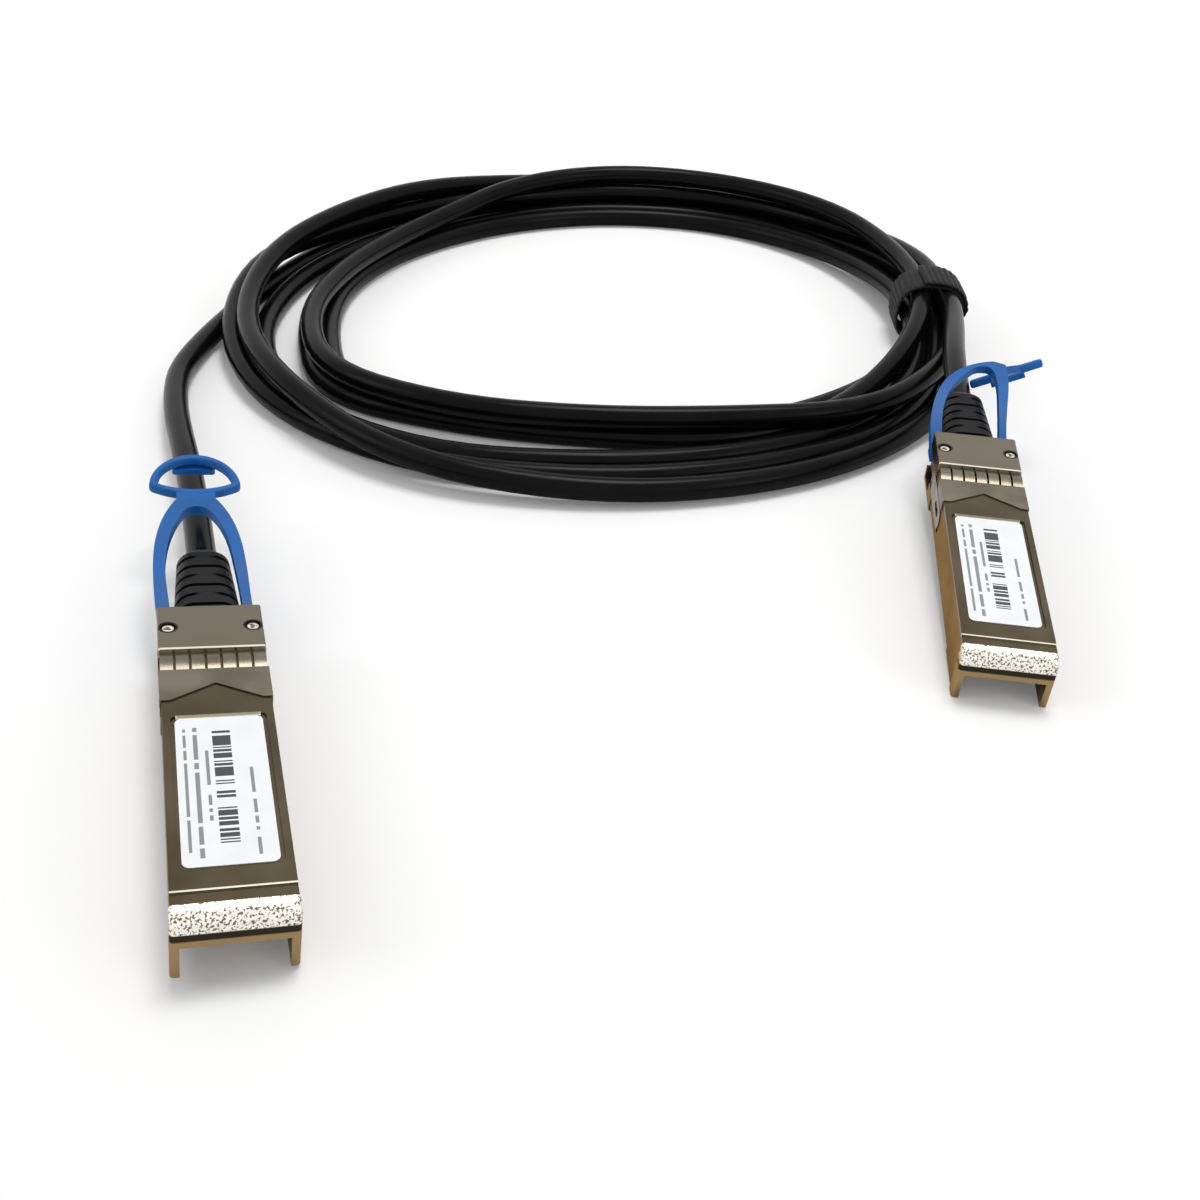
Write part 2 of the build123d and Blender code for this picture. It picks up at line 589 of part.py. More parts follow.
def pull_tab(slope, left, left_in, right, right_in, top, head, head_w, grip_plane):
    """One tab in the plug's frame: bent sheet trimmed to its legs, then neck and grip."""
    bend_r = SHEET_L / radians(slope[0] - slope[1])
    centre = (PLUG_L + bend_r * sin(radians(slope[0])), AXIS_Z - bend_r * cos(radians(slope[0])))
    with BuildPart() as tab:
        with BuildSketch(beside(-GRIP_W)) as sheet_side:
            with BuildLine() as sheet_line:
                CenterArc(centre, bend_r, 90 + slope[0], slope[1] - slope[0])
            trace(line_width=STRAP_T)
        extrude(amount=2 * GRIP_W)
        with BuildSketch(Plane(origin=(0, PLUG_L, 0))) as leg_plan:
            with BuildLine():
                left_line = Spline((-LEG_OUT, 0), *spread(left))
                right_line = Spline((LEG_OUT, 0), *spread(right))
                Line(left_line @ 1, right_line @ 1)
                Line((LEG_OUT, 0), (LEG_IN, 0))
                Spline((LEG_IN, 0), *spread(right_in + [top]), tangents=[(0, 1), (-1, 0)])
                Spline((-LEG_IN, 0), *spread(left_in + [top]), tangents=[(0, 1), (1, 0)])
                Line((-LEG_IN, 0), (-LEG_OUT, 0))
            make_face()
        extrude(amount=2 * SHEET_L, mode=Mode.INTERSECT)
        reach = grip_plane.origin - Vector(*head)
        with BuildSketch(Plane(origin=head, x_dir=(1, 0, 0), z_dir=reach)) as neck_root:
            Rectangle(head_w, STRAP_T)
        with BuildSketch(Plane(origin=grip_plane.origin, x_dir=grip_plane.x_dir, z_dir=reach)) as neck_end:
            Rectangle(NECK_W, STRAP_T)
        loft([neck_root.sketch, neck_end.sketch])
        add(grip.part.moved(grip_plane.location))
        for side in (-1, 1):
            sleeve_x = sorted((side * LEG_IN, side * LEG_OUT))
            sleeve_z = (AXIS_Z - SLEEVE_H / 2, AXIS_Z + SLEEVE_H / 2)
            block(sleeve_x, (PLUG_L, PLUG_L + TONGUE_L + SLEEVE_END), sleeve_z)
            slot = sorted((side * ARM_IN, side * (ARM_IN + ARM_T)))
            block(slot, (PLUG_L, PLUG_L + TONGUE_L), TONGUE_Z, Mode.SUBTRACT)
    return tab.part


tab_a_legs = (TAB_A_LEFT, TAB_A_LEFT_IN, TAB_A_RIGHT, TAB_A_RIGHT_IN, TAB_A_TOP)
tab_b_legs = (TAB_B_LEFT, TAB_B_LEFT_IN, TAB_B_RIGHT, TAB_B_RIGHT_IN, TAB_B_TOP)
pull_tab_a = pull_tab(TAB_A_SLOPE, *tab_a_legs, TAB_A_HEAD, TAB_A_HEAD_W, GRIP_A).moved(PLUG_A)
pull_tab_b = pull_tab(TAB_B_SLOPE, *tab_b_legs, TAB_B_HEAD, TAB_B_HEAD_W, GRIP_B).moved(PLUG_B)


def lead(plug, out_y, points):
    """Cable from the end of its jacket straight out of a plug, then along the points to the coil."""
    start = (plug * Pos(0, JACKET_END_Y, AXIS_Z)).position
    out = (plug * Pos(0, out_y, AXIS_Z)).position
    route = [start, out] + [Vector(*point) for point in points]
    runs = [after - before for before, after in zip(route, route[1:])]
    radii = []
    for before, after in zip(runs, runs[1:]):
        half_turn = radians(before.get_angle(after)) / 2
        radii.append(BEND_SHARE * min(before.length, after.length) / tan(half_turn))
    print("bend radii", [round(radius, 1) for radius in radii])
    with BuildPart() as tube:
        with BuildLine() as path:
            FilletPolyline(*route, radius=radii)
        with BuildSketch(Plane(origin=path.line @ 0, z_dir=path.line % 0)) as section:
            Circle(CABLE_D / 2)
        sweep()
    length = sum(edge.length for edge in path.edges())
    print("run of cable", round(length, 1), "volume", round(tube.part.volume, 1))
    return tube.part


cable_lead_a = lead(PLUG_A, LEAD_A_OUT, LEAD_A)
cable_lead_b = lead(PLUG_B, LEAD_B_OUT, LEAD_B)

# Tie: strap wound once round the gathered turns
tie_end = Plane(origin=(TIE_C[0], TIE_C[1] + TIE_L / 2, 0), x_dir=(1, 0, 0), z_dir=(0, -1, 0))
with BuildPart() as cable_tie:
    with BuildSketch(tie_end) as strap:
        with Locations((0, BUNDLE[1] / 2 + TIE_T)):
            RectangleRounded(BUNDLE[0] + 2 * TIE_T, BUNDLE[1] + 2 * TIE_T, TIE_R + TIE_T)
            RectangleRounded(BUNDLE[0], BUNDLE[1], TIE_R, mode=Mode.SUBTRACT)
    extrude(amount=TIE_L)

# Coil: ring of gathered turns, lower in front, drawn together inside the tie
with BuildPart() as cable_coil:
    with BuildSketch() as ring_face:
        with Locations(COIL_OUTER_C):
            Ellipse(*COIL_OUTER)
        with Locations(COIL_INNER_C):
            Ellipse(*COIL_INNER, mode=Mode.SUBTRACT)
    extrude(amount=COIL_FAR_H + COIL_R)
    near_y = COIL_OUTER_C[1] - COIL_OUTER[1]
    rise = atan((COIL_FAR_H - COIL_NEAR_H) / (2 * COIL_OUTER[1]))
    slope = Plane(Pos(0, near_y, COIL_NEAR_H) * Rot(degrees(rise), 0, 0))
    split(bisect_by=slope, keep=Keep.BOTTOM)
    fillet(cable_coil.edges().filter_by(GeomType.LINE, reverse=True), COIL_R)
    block(
        (TIE_C[0] - TIE_CUT / 2, TIE_C[0] + TIE_CUT / 2),
        (TIE_C[1] - TIE_L / 2, TIE_C[1] + TIE_L / 2),
        (0, COIL_FAR_H + COIL_R),
        Mode.SUBTRACT,
    )
    with BuildSketch(tie_end) as bundle:
        with Locations((0, BUNDLE[1] / 2 + TIE_T)):
            RectangleRounded(BUNDLE[0], BUNDLE[1], TIE_R)
    extrude(amount=TIE_L)

write_both(top_shell, "top_shell")
write_both(bottom_shell, "bottom_shell")
write_both(emi_collar, "emi_collar")
write_both(cover_rivets, "cover_rivets")
write_both(label, "label")
write_both(latch_slider, "latch_slider")
write_both(lock_lever, "lock_lever")
write_both(lever_pin, "lever_pin")
write_both(paddle_card, "paddle_card")
write_both(contact_pads, "contact_pads")
write_both(memory_chip, "memory_chip")
write_both(twinax_pairs, "twinax_pairs")
write_both(crimp_ferrule, "crimp_ferrule")
write_both(strain_relief_boot, "strain_relief_boot")
write(pull_tab_a, "pull_tab_a")
write(pull_tab_b, "pull_tab_b")
write(cable_coil.part, "cable_coil")
write(cable_lead_a, "cable_lead_a")
write(cable_lead_b, "cable_lead_b")
write(cable_tie.part, "cable_tie")
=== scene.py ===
# %% [markdown]
# # A coiled network cable with two plugs
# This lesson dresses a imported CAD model: two metal plugs with blue pull tabs, joined by about three
# metres of black cable that lies in a coil and is held by a ribbed strap. The CAD frame gives every
# rigid piece its place; here each one gets its surface, and the soft pieces get their shape.

# %% Load the frame
import bpy
import math
import numpy as np
from mathutils import Matrix, Vector


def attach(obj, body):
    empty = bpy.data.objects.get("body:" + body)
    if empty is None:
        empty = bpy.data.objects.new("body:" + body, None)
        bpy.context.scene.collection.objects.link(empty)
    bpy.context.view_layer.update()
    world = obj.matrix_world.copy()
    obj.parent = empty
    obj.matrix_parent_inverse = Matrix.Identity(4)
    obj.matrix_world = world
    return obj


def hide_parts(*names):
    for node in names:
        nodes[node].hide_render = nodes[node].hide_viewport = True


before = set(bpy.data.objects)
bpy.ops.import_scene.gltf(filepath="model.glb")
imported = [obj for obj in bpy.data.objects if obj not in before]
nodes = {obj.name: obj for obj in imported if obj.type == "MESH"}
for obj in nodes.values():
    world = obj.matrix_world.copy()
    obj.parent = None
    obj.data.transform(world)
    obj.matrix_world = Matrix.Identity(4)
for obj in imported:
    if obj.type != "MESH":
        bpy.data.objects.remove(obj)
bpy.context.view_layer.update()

# %% [markdown]
# ## Sizes and places
# The shared frame's unit is the metre. `MM` lets sizes be written in millimetres, as on a drawing.
# Each plug has a frame of its own: nose at the origin, cable end towards +Y. It comes to its place
# by a roll about Y, a tilt about X, a turn about Z and a shift, which the materials use as well.

# %% Sizes and places
MM = 0.001
CABLE_D = 4.4 * MM
# Height of the cable's axis and the far end of the boot, in a plug's own frame
AXIS_Z = 4.9
BOOT_END_Y = 76.0
PLUGS = {
    "a": {"place": (-40.55, -72.7, 0.61), "turn": 18.2, "tilt": 0.0, "roll": 5.1},
    "b": {"place": (53.8, -12.2, -0.5), "turn": -3.85, "tilt": 5.6, "roll": 0.0},
}


def plug_matrix(end):
    """Matrix from one plug's own frame, in millimetres, to the shared frame in metres."""
    plug = PLUGS[end]
    turn = Matrix.Rotation(math.radians(plug["turn"]), 4, "Z")
    tilt = Matrix.Rotation(math.radians(plug["tilt"]), 4, "X")
    roll = Matrix.Rotation(math.radians(plug["roll"]), 4, "Y")
    return Matrix.Scale(MM, 4) @ Matrix.Translation(plug["place"]) @ turn @ tilt @ roll


def in_plug(end, x, y, z):
    """Point of a plug's frame, in millimetres, as a point of the shared one in metres."""
    return tuple(plug_matrix(end) @ Vector((x, y, z)))


# %% [markdown]
# ## Camera
# The picture looks down on the table at about 33 degrees, with a slight roll. A focal length of 1400
# pixels in a 1200 pixel frame is a 42 mm lens on a 36 mm sensor.

# %% Camera
FRAME_PX = 1200
FOCAL_PX = 1400
SENSOR_MM = 36
CLIP = (0.005, 20)
CAMERA_AT = (-4.5, -174.7, 119.7)
CAMERA_PITCH = math.radians(33.43)
CAMERA_ROLL = math.radians(4.3)

forward = Vector((0, math.cos(CAMERA_PITCH), -math.sin(CAMERA_PITCH)))
level_up = Vector((0, math.sin(CAMERA_PITCH), math.cos(CAMERA_PITCH)))
level_right = Vector((1, 0, 0))
right = level_right * math.cos(CAMERA_ROLL) + level_up * math.sin(CAMERA_ROLL)
up = level_up * math.cos(CAMERA_ROLL) - level_right * math.sin(CAMERA_ROLL)

camera_data = bpy.data.cameras.new("camera")
camera_data.sensor_width = SENSOR_MM
camera_data.lens = SENSOR_MM * FOCAL_PX / FRAME_PX
camera_data.clip_start, camera_data.clip_end = CLIP
camera = bpy.data.objects.new("camera", camera_data)
bpy.context.scene.collection.objects.link(camera)
facing = Matrix((right, up, -forward)).transposed().to_4x4()
camera.matrix_world = Matrix.Translation(Vector(CAMERA_AT) * MM) @ facing
bpy.context.scene.camera = camera
print("lens", camera_data.lens)

# %% [markdown]
# ## The cable's route
# One NURBS spline holds the whole cable: straight out of plug A's boot, along the floor, then the
# coil, and out of the strap into plug B's boot. The strap on the right packs all passes like the
# cells of a honeycomb; elsewhere the turns lie loose, so each has its own size and crosses others.
# A turn is written as it would be laid by hand: its distance from the coil's centre and its height
# at every sixteenth of the way round, from the strap to the near side, the left and the far side.
# A spline of this order touches the sides of its control polygon, so a turn drawn through sixteen
# corners comes out smaller by $\cos(\pi/16)$, and the distances are divided by that.

# %% The cable's route
COIL_CENTRE = np.array([-8.0, 119.8])
STRAP_AT = (62.6, 122.8, 7.4)
# Distance between neighbours in the honeycomb, with a hundredth of the diameter as a gap
HEX = CABLE_D / MM * 1.01
STEPS = 16
SHRINK = math.cos(math.pi / STEPS)
FLOOR_Z = CABLE_D / MM / 2
SPLINE_ORDER = 3
SMOOTH_STEPS = 6
# The slot under the strap where each pass ends, as steps outwards and up in the honeycomb
SLOTS = [(0.5, -1), (1, 0), (-0.5, 1), (-0.5, -1), (-1, 0), (0, 0), (0.5, 1)]
# Distances from the centre: the end of lead A from the left, then the six turns
DISTANCES = [
    [73.9, 70.6, 69.0, 72.2, 78.0, 83.5, 84.4, 78.6],
    [77.8, 78.8, 80.6, 83.4, 86.8, 82.3, 77.8, 72.6, 67.5, 67.0, 71.2, 76.7, 82.3, 82.7, 79.4],
    [74.7, 72.7, 63.6, 62.4, 66.9, 71.8, 64.8, 57.8, 55.1, 57.5, 64.3, 73.8, 77.1, 76.6, 71.0],
    [65.8, 64.9, 64.8, 61.4, 64.8, 73.0, 65.2, 62.3, 60.4, 60.4, 63.8, 69.1, 74.6, 75.4, 72.1],
    [63.5, 60.0, 59.4, 56.8, 60.3, 68.6, 60.8, 57.9, 56.0, 56.1, 59.4, 64.8, 69.7, 70.2, 67.5],
    [69.0, 70.6, 70.1, 71.8, 78.4, 79.8, 74.9, 69.5, 65.4, 64.7, 68.0, 73.5, 79.2, 80.1, 75.0],
    [73.0, 74.9, 74.7, 77.4, 82.5, 84.4, 81.1, 76.2, 68.8, 66.6, 66.3, 72.2, 77.9, 78.3, 75.8],
]
# Heights above the floor layer, for the same places
LIFTS = [
    [0, 0, 0, 0, 0, 0, 0, 0.5],
    [0.5, 0.1, 0.3, 0.7, 2.8, 5.7, 5.4, 7.9, 9.1, 9.0, 6.0, 4.6, 4.5, 4.6, 4.7],
    [5.8, 4.8, 4.9, 4.6, 4.4, 4.3, 4.2, 4.4, 4.3, 4.8, 8.2, 8.6, 8.8, 9.1, 8.8],
    [5.7, 1.1, 0.5, 0.2, 0.1, 0, 0, 0, 0, 0, 0, 0, 0, 0.3, 0.4],
    [0, 0, 0.2, 0.2, 0.2, 0.1, 0.1, 0, 0, 0, 0, 0, 0, 0.7, 3.1],
    [1.8, 0.8, 0.4, 0.2, 0.1, 0, 0, 0, 0, 0, 0, 0, 0, 0.4, 3.8],
    [0.8, 0, 0, 0, 0.1, 0.7, 1.9, 5.6, 4.7, 4.3, 4.1, 4.1, 4.1, 4.5, 8.2],
]


def strap_station(slot):
    """Place of one pass under the strap: (x, y, z)."""
    out, row = slot
    reach = (STRAP_AT[0] + out * HEX - COIL_CENTRE[0]) / SHRINK
    height = STRAP_AT[2] + row * HEX * math.sqrt(3) / 2
    return np.array([[COIL_CENTRE[0] + reach, COIL_CENTRE[1], height]])


def turn_points(distances, lifts):
    """Points at centre + r (cos a, sin a), with a falling by 2 pi / 16 until next to the strap."""
    angle = np.arange(len(distances), 0, -1) * 2 * math.pi / STEPS
    reach = np.array(distances) / SHRINK
    flat = COIL_CENTRE + reach[:, None] * np.stack([np.cos(angle), np.sin(angle)], axis=-1)
    return np.column_stack([flat, FLOOR_Z + np.array(lifts)])


# The leads between the plugs and the coil: points in the open, where the cable starts inside a
# boot, and how far behind each plug's nose it still runs straight
LEAD_A = [(-88.2, 63.2, 3.0), (-88.9, 85.0, 2.4)]
LEAD_B = [(65.4, 106.8, 11.4)]
IN_BOOT_Y = BOOT_END_Y - 6
STRAIGHT_Y = {"a": 97, "b": 91.5}
coil = []
for slot, distances, lifts in zip(SLOTS, DISTANCES, LIFTS):
    coil += [turn_points(distances, lifts), strap_station(slot)]
loose = np.vstack([LEAD_A] + coil + [LEAD_B]) * MM
route = [in_plug("a", 0, IN_BOOT_Y, AXIS_Z), in_plug("a", 0, STRAIGHT_Y["a"], AXIS_Z)]
route += loose.tolist()
route += [in_plug("b", 0, STRAIGHT_Y["b"], AXIS_Z), in_plug("b", 0, IN_BOOT_Y, AXIS_Z)]
print("route points", len(route))


def nurbs_line(name, points, thickness):
    """Curve object with one open NURBS spline; its bevel of 1 m is scaled by each point's radius."""
    data = bpy.data.curves.new(name, "CURVE")
    data.dimensions = "3D"
    spline = data.splines.new("NURBS")
    spline.points.add(len(points) - 1)
    flat = np.hstack([np.array(points), np.ones((len(points), 1))])
    spline.points.foreach_set("co", flat.ravel())
    spline.points.foreach_set("radius", np.full(len(points), thickness / 2))
    spline.order_u = SPLINE_ORDER
    spline.use_endpoint_u = True
    spline.resolution_u = SMOOTH_STEPS
    data.bevel_depth = 1.0
    data.bevel_resolution = SMOOTH_STEPS
    data.use_fill_caps = True
    line = bpy.data.objects.new(name, data)
    bpy.context.scene.collection.objects.link(line)
    return line


cable = nurbs_line("cable", route, CABLE_D)
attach(cable, "cable")
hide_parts("cable_coil", "cable_lead_a", "cable_lead_b")

# %% [markdown]
# ## The strap
# A ribbed hook-and-loop strap is wound round the seven passes of the cable, a little more than once,
# so its free end lies on its first layer. It could be a bent box, but a section carried round a loop
# gives the ribs and the soft edges at once. With $u$ round the loop and $v$ round the section, the
# loop is a superellipse $|x/a|^p + |z/b|^p = 1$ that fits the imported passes, and the section is a
# flat superellipse as wide as the strap. Ribs run across the strap: they lift the outer half of the
# section by a rounded wave of $u$.

# %% The strap
STRAP_WIDTH = 11.0
STRAP_THICK = 0.5
BUNDLE_HALF = (6.72, 6.2)
LOOP_ORDER = 2.6
RIB_PITCH = 1.15
RIB_LIFT = 0.34
# Start of the loop, and how much of a turn its free end goes past the first one
OVERLAP = (0.02, 0.30)
# Share of a turn before the overlap where the strap begins to climb, and how long it climbs
CLIMB = (0.03, 0.05)
# Powers below 1 that flatten a sine: the section's width and thickness, the ribs and their rise
SECTION_POWERS = (0.35, 0.6)
RIB_POWERS = (0.7, 0.5)
LOOP_STEPS = 640
SECTION_STEPS = 26
MEASURE_STEPS = 4001


def rounded_loop(angle, half_x, half_z):
    """Superellipse of order p: (a |cos t|^(2/p), b |sin t|^(2/p)), with the signs of cos and sin."""
    cos, sin = np.cos(angle), np.sin(angle)
    x = half_x * np.sign(cos) * np.abs(cos) ** (2 / LOOP_ORDER)
    z = half_z * np.sign(sin) * np.abs(sin) ** (2 / LOOP_ORDER)
    return np.stack([x, z], axis=-1)


def even_loop(half_x, half_z, turns_from, turns_to, count):
    """Points and outward normals at even steps of length along the loop, between two turns."""
    angle = np.linspace(0, 2 * math.pi, MEASURE_STEPS)
    line = rounded_loop(angle, half_x, half_z)
    run = np.concatenate([[0], np.cumsum(np.linalg.norm(np.diff(line, axis=0), axis=1))])
    share = np.linspace(turns_from, turns_to, count)
    place = np.mod(share, 1.0) * run[-1]
    point = np.stack([np.interp(place, run, line[:, axis]) for axis in (0, 1)], axis=-1)
    slope = np.gradient(point, axis=0)
    slope /= np.linalg.norm(slope, axis=1, keepdims=True)
    normal = np.stack([slope[:, 1], -slope[:, 0]], axis=-1)
    return point, normal, share, run[-1]


def strap_surface():
    """Section (width y, thickness n) carried round the loop; the free end steps out by a layer."""
    start, stop = OVERLAP[0], 1 + OVERLAP[1]
    point, normal, share, length = even_loop(*BUNDLE_HALF, start, stop, LOOP_STEPS)
    lap = np.clip((share - 1 - start + CLIMB[0]) / CLIMB[1], 0, 1)
    layer = (STRAP_THICK + RIB_LIFT) * lap * lap * (3 - 2 * lap)
    turn = np.linspace(0, 2 * math.pi, SECTION_STEPS, endpoint=False)
    cos, sin = np.cos(turn), np.sin(turn)
    width = STRAP_WIDTH / 2 * np.sign(cos) * np.abs(cos) ** SECTION_POWERS[0]
    rise = STRAP_THICK / 2 * (1 + np.sign(sin) * np.abs(sin) ** SECTION_POWERS[1])
    rib = RIB_LIFT * np.abs(np.sin(math.pi * share * length / RIB_PITCH)) ** RIB_POWERS[0]
    outer = np.clip(sin, 0, 1) ** RIB_POWERS[1]
    out = layer[:, None] + rise[None, :] + rib[:, None] * outer[None, :]
    x = STRAP_AT[0] + point[:, :1] + normal[:, :1] * out
    z = STRAP_AT[2] + point[:, 1:] + normal[:, 1:] * out
    y = STRAP_AT[1] + np.broadcast_to(width[None, :], out.shape)
    return np.stack([x, y, z], axis=-1) * MM


def skin_mesh(name, grid):
    """Mesh of a grid of rows: closed round each row, with a flat cap on the first and the last."""
    rows, columns = grid.shape[:2]
    index = np.arange(rows * columns).reshape(rows, columns)
    ahead = np.roll(index, -1, axis=1)
    quads = np.stack([index[:-1], ahead[:-1], ahead[1:], index[1:]], axis=-1).reshape(-1, 4)
    caps = [index[0, ::-1].tolist(), index[-1].tolist()]
    data = bpy.data.meshes.new(name)
    data.from_pydata(grid.reshape(-1, 3).tolist(), [], quads.tolist() + caps)
    data.shade_smooth()
    data.update()
    piece = bpy.data.objects.new(name, data)
    bpy.context.scene.collection.objects.link(piece)
    return piece


strap = skin_mesh("ribbed_strap", strap_surface())
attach(strap, "cable")
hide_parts("cable_tie")
print("strap faces", len(strap.data.polygons))

# %% [markdown]
# ## Tools for the finishes
# Every finish below is a small node tree. Five helpers keep the cells short: `put` places a node with
# its values, `mixed` mixes two colours, `sum_of` does a sum, `ramp` is a soft step, and `millimetres`
# gives the place of a pattern, so that "two grains per millimetre" is written as 2. Finishes that
# follow the shape of a plug use the plug's own frame: the Mapping node, as a texture mapping, undoes
# the plug's shift and turn.

# %% Tools for the finishes
def put(tree, kind, values, **settings):
    """One node: settings go on the node, values on its inputs; a value that is a socket is linked."""
    node = tree.nodes.new(kind)
    for name, value in settings.items():
        setattr(node, name, value)
    for key, value in values.items():
        if isinstance(value, bpy.types.NodeSocket):
            tree.links.new(value, node.inputs[key])
        else:
            node.inputs[key].default_value = value
    return node


def mixed(tree, factor, first, second):
    """Colour between two colours, by a factor from 0 to 1."""
    values = {0: factor, 6: first, 7: second}
    return put(tree, "ShaderNodeMix", values, data_type="RGBA").outputs[2]


def sum_of(tree, operation, first, second=0.0, third=0.0):
    """Result of one sum; the third value counts only in a product with an addition."""
    values = {0: first, 1: second, 2: third}
    return put(tree, "ShaderNodeMath", values, operation=operation).outputs[0]


def ramp(tree, value, low, high, start=0.0, end=1.0):
    """Smooth step of a value: start at or before low, end at or after high."""
    values = {"Value": value, "From Min": low, "From Max": high, "To Min": start, "To Max": end}
    return put(tree, "ShaderNodeMapRange", values, interpolation_type="SMOOTHSTEP").outputs[0]


def millimetres(tree, end=None):
    """Coordinates of a pattern in millimetres, in the shared frame or in one plug's own."""
    object_place = put(tree, "ShaderNodeTexCoord", {}).outputs["Object"]
    values = {"Vector": object_place, "Scale": (MM, MM, MM)}
    if end is not None:
        plug = PLUGS[end]
        values["Location"] = tuple(MM * value for value in plug["place"])
        values["Rotation"] = tuple(math.radians(plug[name]) for name in ("tilt", "roll", "turn"))
    return put(tree, "ShaderNodeMapping", values, vector_type="TEXTURE").outputs["Vector"]


# %% [markdown]
# ## One grain for all
# Cast metal, moulded plastic and a drawn jacket all have two things in common: a fine grain that
# breaks up the gloss, and larger soft patches where handling has changed the shine a little. A node
# group gives both from two noises, and each finish places it with its own sizes.

# %% One grain for all
def make_grain_group():
    """Group with a soft patch value and a fine grain value, each a noise of its own frequency."""
    tree = bpy.data.node_groups.new("fine_grain", "ShaderNodeTree")
    sockets = tree.interface
    sockets.new_socket("Place", in_out="INPUT", socket_type="NodeSocketVector")
    sockets.new_socket("Patches per mm", in_out="INPUT", socket_type="NodeSocketFloat")
    sockets.new_socket("Grains per mm", in_out="INPUT", socket_type="NodeSocketFloat")
    sockets.new_socket("Patches", in_out="OUTPUT", socket_type="NodeSocketFloat")
    sockets.new_socket("Grain", in_out="OUTPUT", socket_type="NodeSocketFloat")
    given = tree.nodes.new("NodeGroupInput").outputs
    patch_values = {"Vector": given["Place"], "Scale": given["Patches per mm"], "Detail": 3.0}
    patches = put(tree, "ShaderNodeTexNoise", patch_values).outputs[0]
    grain_values = {"Vector": given["Place"], "Scale": given["Grains per mm"], "Detail": 2.0}
    grain = put(tree, "ShaderNodeTexNoise", grain_values).outputs[0]
    wide = ramp(tree, patches, 0.3, 0.7)
    put(tree, "NodeGroupOutput", {"Patches": wide, "Grain": grain})
    return tree


grain_group = make_grain_group()
print("group", grain_group.name)

# %% [markdown]
# ## A grained finish
# Most pieces need the same recipe: a colour that drifts between a darker and a lighter tone, a
# roughness that drifts with it, and a bump from the grain. The function returns the parts of the
# material, so that a finish can go on from there.

# %% A grained finish
BUMP_DEPTH = 0.1 * MM


def grained(name, dark, light, per_mm, rough, bump, metallic=0.0, end=None):
    """Material whose colour and roughness drift with the patches and whose bump is the grain."""
    material = bpy.data.materials.new(name)
    material.use_nodes = True
    tree = material.node_tree
    shader = tree.nodes["Principled BSDF"]
    shader.inputs["Metallic"].default_value = metallic
    place = millimetres(tree, end)
    values = {"Place": place, "Patches per mm": per_mm[0], "Grains per mm": per_mm[1]}
    group = put(tree, "ShaderNodeGroup", values, node_tree=grain_group)
    patches, grain = group.outputs["Patches"], group.outputs["Grain"]
    colour = mixed(tree, patches, (*dark, 1), (*light, 1))
    tree.links.new(colour, shader.inputs["Base Color"])
    dull = sum_of(tree, "MULTIPLY_ADD", patches, rough[1] - rough[0], rough[0])
    tree.links.new(dull, shader.inputs["Roughness"])
    values = {"Height": grain, "Strength": bump, "Distance": BUMP_DEPTH}
    relief = put(tree, "ShaderNodeBump", values)
    tree.links.new(relief.outputs["Normal"], shader.inputs["Normal"])
    return {
        "material": material, "tree": tree, "shader": shader, "place": place,
        "patches": patches, "grain": grain, "colour": colour, "bump": relief,
    }


def dress(material, *names):
    """Give the objects of some CAD nodes one material."""
    for name in names:
        nodes[name].data.materials.clear()
        nodes[name].data.materials.append(material)


# %% [markdown]
# ## Plated shell
# The plugs are zinc castings with a polished nickel plate. Its dark warm brown-grey colour is partly
# the plate's own tone and partly painted reflection of dark, warm surroundings. The rear block is a
# little lighter, and the bull-nosed lip carries a painted highlight with a dark pepper where the
# plate shows the pores of the casting, above a band of painted shade. The sides and the face under
# that band carry a painted warm gold reflection. At a flat angle any metal reflects white, so the
# sides also tint their slanting reflections with the same painted gold. Painted highlights brighten
# the
# raised edges: the step behind the lip, the far edge of the label's pocket and the front edge of the
# rear block. All zones are masks in the plug's own frame, so they stay with the shape.

# %% Plated shell
# Plate tone, partly the nickel's own colour and partly painted dark reflection of warm surroundings
PLATE_AND_REFLECTION_DARK = (0.078, 0.061, 0.035)
PLATE_AND_REFLECTION_LIGHT = (0.100, 0.081, 0.050)
REAR_TONE = (0.165, 0.146, 0.106)
# Painted warm reflection on the sides, and its tint on their reflections at a flat angle
SIDE_REFLECTION_TONE = (0.180, 0.116, 0.048)
SIDE_REFLECTION_DARK = tuple(0.75 * value for value in SIDE_REFLECTION_TONE)
SIDE_REFLECTION_TINT = (0.86, 0.64, 0.42)
# Painted highlight on the bull-nosed lip
LIP_HIGHLIGHT_TONE = (0.93, 0.91, 0.83)
PORE_TONE = (0.165, 0.130, 0.078)
SHADE_TONE = (0.028, 0.024, 0.016)
# Painted warm reflection on the face under the lip's shade band
UNDER_REFLECTION_TONE = (0.330, 0.225, 0.110)
# Painted highlight on the raised edges of the upper face
EDGE_HIGHLIGHT_TONE = (0.80, 0.76, 0.64)
RING_TONE = (0.018, 0.015, 0.011)
# Limits of the zones, in millimetres of the plug's own frame
LIP_END_Y = 2.25
STEP_Y = 4.0
STOP_Y = 47.5
POCKET_FAR_Y = 34.4
POCKET_HALF_X = 5.1
SIDE_X = 6.5
SHELL_TOP_Z = 8.8
LIP_LOW_Z = 6.7
LIP_SHADE = 1.0
# Widths of the painted edge highlights
STEP_EDGE = 0.28
BLOCK_EDGE = 0.42
RIVET_AT = (5.5, 52.6)
RING_RADII = (0.9, 1.3)
# The pores: how many to a millimetre, which values of the noise are pores, and how deep they go
PORES_PER_MM = 3.6
PORE_LIMITS = (0.40, 0.49)
PIT_DEPTH = 1.5


def window(tree, value, low, high, soft=0.04):
    """Mask of 1 between two limits of a value, with a soft edge."""
    above = ramp(tree, value, low - soft, low + soft)
    below = ramp(tree, value, high - soft, high + soft, 1.0, 0.0)
    return sum_of(tree, "MULTIPLY", above, below)


